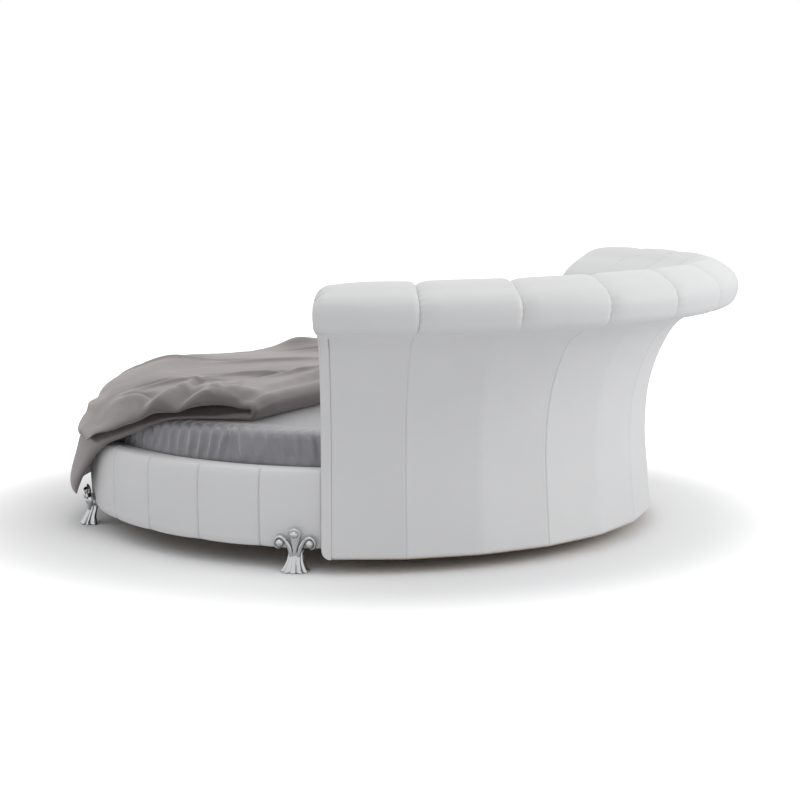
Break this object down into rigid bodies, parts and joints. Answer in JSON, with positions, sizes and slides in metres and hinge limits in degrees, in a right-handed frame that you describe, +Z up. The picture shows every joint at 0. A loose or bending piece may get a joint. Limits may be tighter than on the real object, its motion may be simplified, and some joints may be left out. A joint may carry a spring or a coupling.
{
  "type": "round bed",
  "caption": "Round upholstered bed on chrome feet, with a curved channelled headboard that rolls outwards, a round mattress in a fitted sheet and a folded duvet.",
  "frame": {"origin": "on the floor at the centre of the round mattress", "axes": "+Z up, +Y towards the middle of the headboard, +X to the right of someone who lies with the head at the headboard and looks up"},
  "size_m": [2.9142, 2.8226, 1.1068],
  "materials": {
    "leather": "soft satin",
    "chrome": "polished",
    "felt": "matt felt",
    "bracket_steel": "matt black",
    "bolt_steel": "zinc plated",
    "leg_paint": "matt black",
    "glide_plastic": "matt",
    "tray_plastic": "matt",
    "slat_wood": "bare beech",
    "mattress_foam": "knitted cover",
    "sheet_cotton": "satin weave",
    "duvet_cotton": "satin weave",
    "timber": "bare plywood"
  },
  "bodies": {
    "bed_frame": {"beam_brackets": "bracket_steel", "centre_beam": "timber", "centre_leg": "leg_paint", "chrome_foot_end_left": "chrome", "chrome_foot_end_right": "chrome", "chrome_foot_head_left": "chrome", "chrome_foot_head_right": "chrome", "foot_bracket_bolts": "bolt_steel", "foot_brackets": "bracket_steel", "foot_soles": "felt", "head_left_leg": "leg_paint", "head_right_leg": "leg_paint", "headboard_back_cover": "leather", "headboard_base_plate": "timber", "headboard_end_left": "leather", "headboard_end_right": "leather", "headboard_inner_pad": "leather", "headboard_inner_skin": "timber", "headboard_low_board": "timber", "headboard_outer_skin": "timber", "headboard_ribs": "timber", "headboard_top_rail": "timber", "joint_bolts": "bolt_steel", "joint_plates": "bracket_steel", "ledge_foot": "timber", "ledge_head": "timber", "ledge_left": "timber", "ledge_right": "timber", "left_beam": "timber", "rail_foot_board": "timber", "rail_foot_cover": "leather", "rail_left_board": "timber", "rail_left_cover": "leather", "rail_right_board": "timber", "rail_right_cover": "leather", "right_beam": "timber", "roll_pad_01": "leather", "roll_pad_02": "leather", "roll_pad_03": "leather", "roll_pad_04": "leather", "roll_pad_05": "leather", "roll_pad_06": "leather", "roll_pad_07": "leather", "roll_pad_08": "leather", "roll_pad_09": "leather", "roll_pad_10": "leather", "slat_holders": "tray_plastic", "slats_left": "slat_wood", "slats_right": "slat_wood"},
    "mattress": {"mattress_core": "mattress_foam", "fitted_sheet": "sheet_cotton"},
    "duvet": {"duvet": "duvet_cotton"},
    "centre_levelling_foot": {"centre_glide": "glide_plastic"},
    "head_right_levelling_foot": {"head_right_glide": "glide_plastic"},
    "head_left_levelling_foot": {"head_left_glide": "glide_plastic"}
  },
  "joints": [
    {"name": "mattress_lift", "type": "slide", "parent": "bed_frame", "child": "mattress", "axis": [0, 0, 1], "range_m": [0, 0.45]},
    {"name": "duvet_lift", "type": "slide", "parent": "mattress", "child": "duvet", "axis": [0, 0, 1], "range_m": [0, 0.4]},
    {"name": "centre_glide_screw", "type": "slide", "parent": "bed_frame", "child": "centre_levelling_foot", "axis": [0, 0, -1], "range_m": [0, 0.012]},
    {"name": "head_right_glide_screw", "type": "slide", "parent": "bed_frame", "child": "head_right_levelling_foot", "axis": [0, 0, -1], "range_m": [0, 0.012]},
    {"name": "head_left_glide_screw", "type": "slide", "parent": "bed_frame", "child": "head_left_levelling_foot", "axis": [0, 0, -1], "range_m": [0, 0.012]}
  ]
}
